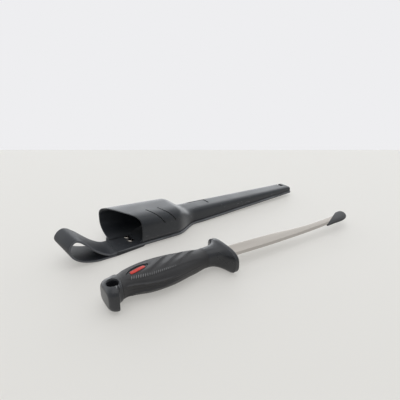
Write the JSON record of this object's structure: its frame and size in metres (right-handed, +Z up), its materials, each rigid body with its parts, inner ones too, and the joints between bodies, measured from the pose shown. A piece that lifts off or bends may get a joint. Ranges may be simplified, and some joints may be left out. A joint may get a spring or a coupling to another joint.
{
  "type": "fillet knife with belt sheath",
  "caption": "Slim curved fillet knife with a soft grip, flared guard, hooked pommel and slip-on tip guard, lying beside its moulded belt sheath with a riveted strap loop.",
  "frame": {"origin": "on the table, under the middle of the box round the knife and its sheath", "axes": "+X from the pommel to the blade's tip, +Y from the cutting edge to the spine and on to the sheath, +Z up"},
  "size_m": [0.3268, 0.1532, 0.0358],
  "materials": {
    "blade_steel": "satin, ground lengthwise",
    "tip_guard_rubber": "moulded, matte",
    "handle_plastic": "moulded, half gloss",
    "grip_rubber": "moulded, fine texture",
    "badge_plastic": "plain red inlay",
    "sheath_plastic": "moulded, fine grain",
    "strap_plastic": "moulded, satin",
    "rivet_steel": "bright"
  },
  "bodies": {
    "knife": {"blade": "blade_steel", "handle_core": "handle_plastic", "grip_sleeve": "grip_rubber", "badge": "badge_plastic"},
    "tip_guard": {"tip_guard": "tip_guard_rubber"},
    "sheath": {"sheath_front": "sheath_plastic", "sheath_back": "sheath_plastic", "belt_tab": "strap_plastic", "rivet_1": "rivet_steel", "rivet_2": "rivet_steel", "rivet_washer_1": "rivet_steel", "rivet_washer_2": "rivet_steel"},
    "belt_loop": {"belt_loop": "strap_plastic"}
  },
  "joints": [
    {"name": "tip_guard_slide", "type": "slide", "parent": "knife", "child": "tip_guard", "axis": [1, 0, 0], "range_m": [0, 0.045]},
    {"name": "sheath_draw", "type": "slide", "parent": "knife", "child": "sheath", "axis": [0.9988, 0.0489, 0], "range_m": [0, 0.25]},
    {"name": "loop_bend", "type": "hinge", "parent": "sheath", "child": "belt_loop", "pos_m": [-0.11019, 0.03333, 0.00507], "axis": [-0.0489, 0.9988, 0], "range_deg": [0, 35], "stiffness_Nm_per_rad": 0.4}
  ]
}
